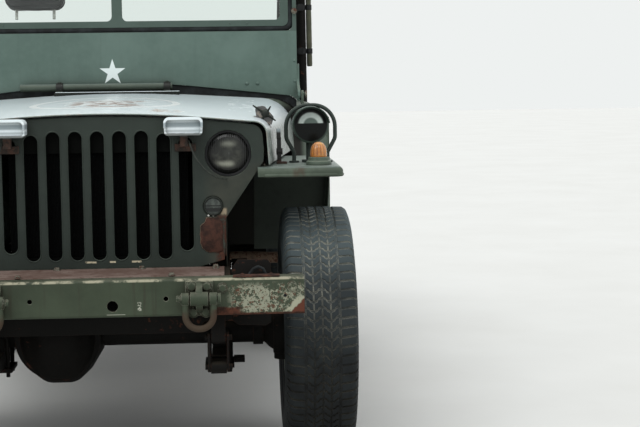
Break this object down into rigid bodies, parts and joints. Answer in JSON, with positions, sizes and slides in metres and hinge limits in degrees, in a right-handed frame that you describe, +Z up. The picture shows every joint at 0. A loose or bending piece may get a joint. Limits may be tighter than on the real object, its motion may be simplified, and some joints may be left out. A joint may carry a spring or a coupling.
{
  "type": "army 4x4 car",
  "caption": "Open quarter-ton 4x4 car with folding windshield, opening hood, steered front wheels and rolling wheels.",
  "frame": {"origin": "on the ground, at the middle of the car's bounding box", "axes": "+Z up, -Y forwards, +X to the car's left side"},
  "size_m": [1.576, 3.4358, 1.7789],
  "materials": {
    "frame_paint": "worn satin",
    "body_paint": "faded, rust-worn matt",
    "chassis_paint": "dirty satin",
    "bare_steel": "dull",
    "cast_parts": "rough",
    "tyre_rubber": "worn",
    "glass": "clear",
    "black_plastic": "satin",
    "amber_plastic": "gloss",
    "cable": "satin",
    "seat_cloth": "worn",
    "seat_canvas": "worn",
    "lamp_glass": "clear"
  },
  "bodies": {
    "chassis": {"frame": "frame_paint", "front_bumper": "body_paint", "tow_shackles": "chassis_paint", "front_axle": "chassis_paint", "rear_axle": "chassis_paint", "leaf_springs": "chassis_paint", "shock_absorbers": "chassis_paint", "engine": "cast_parts", "driveline": "cast_parts", "exhaust": "bare_steel", "skid_plate": "chassis_paint", "fuel_tank": "body_paint", "tub_floor": "body_paint", "tub_side_left": "body_paint", "tub_side_right": "body_paint", "tub_tail": "body_paint", "cowl": "body_paint", "grille": "body_paint", "radiator": "chassis_paint", "fender_left": "body_paint", "fender_right": "body_paint", "headlamps": "body_paint", "headlamp_lenses": "lamp_glass", "marker_lamps": "black_plastic", "visor_lamps": "body_paint", "lamp_wires": "cable", "blackout_lamp": "body_paint", "turn_signals": "amber_plastic", "seat_frames": "chassis_paint", "front_seat_pads": "seat_cloth", "headrest": "black_plastic", "rear_seat_pads": "seat_canvas", "cage_front_hoop": "chassis_paint", "cage_rear_hoop": "chassis_paint", "curtain_rolls": "seat_canvas", "cab_controls": "chassis_paint", "spare_tyre": "tyre_rubber", "spare_rim": "body_paint", "jerry_can": "body_paint", "tail_brackets": "body_paint", "rear_bumpers": "body_paint"},
    "knuckle_left": {"knuckle_left": "cast_parts"},
    "knuckle_right": {"knuckle_right": "cast_parts"},
    "tie_rod": {"tie_rod": "chassis_paint"},
    "drag_link": {"drag_link": "chassis_paint"},
    "pitman_arm": {"pitman_arm": "cast_parts"},
    "steering_wheel": {"steering_wheel": "black_plastic"},
    "wheel_front_left": {"tyre_front_left": "tyre_rubber", "rim_front_left": "body_paint"},
    "wheel_front_right": {"tyre_front_right": "tyre_rubber", "rim_front_right": "body_paint"},
    "wheel_rear_left": {"tyre_rear_left": "tyre_rubber", "rim_rear_left": "body_paint"},
    "wheel_rear_right": {"tyre_rear_right": "tyre_rubber", "rim_rear_right": "body_paint"},
    "windshield": {"windshield_frame": "body_paint", "windshield_glass": "glass"},
    "hood": {"hood": "body_paint"}
  },
  "joints": [
    {"name": "steer_left", "type": "hinge", "parent": "chassis", "child": "knuckle_left", "pos_m": [0.53, -1.155, 0.375], "axis": [0, 0, 1], "range_deg": [-25, 25]},
    {"name": "steer_right", "type": "hinge", "parent": "chassis", "child": "knuckle_right", "pos_m": [-0.53, -1.155, 0.375], "axis": [0, 0, 1], "range_deg": [-25.5, 25.5]},
    {"name": "tie_rod_ball", "type": "hinge", "parent": "knuckle_left", "child": "tie_rod", "pos_m": [0.53, -1.295, 0.484], "axis": [0, 0, 1], "range_deg": [-25.5, 25.5]},
    {"name": "drag_link_ball", "type": "hinge", "parent": "knuckle_left", "child": "drag_link", "pos_m": [0.415, -1.155, 0.484], "axis": [0, 0, 1], "range_deg": [-25.5, 25.5]},
    {"name": "pitman_pivot", "type": "hinge", "parent": "chassis", "child": "pitman_arm", "pos_m": [0.312, -0.84, 0.62], "axis": [-1, 0, 0], "range_deg": [-22, 22]},
    {"name": "steering_wheel_turn", "type": "hinge", "parent": "chassis", "child": "steering_wheel", "pos_m": [0.372, -0.15, 1.12], "axis": [0.1205, 0.8149, 0.5669], "range_deg": [-352, 352]},
    {"name": "roll_front_left", "type": "hinge", "parent": "knuckle_left", "child": "wheel_front_left", "pos_m": [0.632, -1.155, 0.375], "axis": [1, 0, 0], "continuous": true},
    {"name": "roll_front_right", "type": "hinge", "parent": "knuckle_right", "child": "wheel_front_right", "pos_m": [-0.632, -1.155, 0.375], "axis": [1, 0, 0], "continuous": true},
    {"name": "roll_rear_left", "type": "hinge", "parent": "chassis", "child": "wheel_rear_left", "pos_m": [0.632, 0.877, 0.375], "axis": [1, 0, 0], "continuous": true},
    {"name": "roll_rear_right", "type": "hinge", "parent": "chassis", "child": "wheel_rear_right", "pos_m": [-0.632, 0.877, 0.375], "axis": [1, 0, 0], "continuous": true},
    {"name": "windshield_fold", "type": "hinge", "parent": "chassis", "child": "windshield", "pos_m": [0, -0.548, 1.085], "axis": [1, 0, 0], "range_deg": [0, 94]},
    {"name": "hood_open", "type": "hinge", "parent": "chassis", "child": "hood", "pos_m": [0, -0.542, 1.104], "axis": [1, 0, 0], "range_deg": [-85, 0]}
  ],
  "couplings": [
    {"joint": "steer_right", "follows": "steer_left", "ratio": 1},
    {"joint": "tie_rod_ball", "follows": "steer_left", "ratio": -1},
    {"joint": "drag_link_ball", "follows": "steer_left", "ratio": -1},
    {"joint": "pitman_pivot", "follows": "steer_left", "ratio": 0.837},
    {"joint": "steering_wheel_turn", "follows": "steer_left", "ratio": 14}
  ]
}
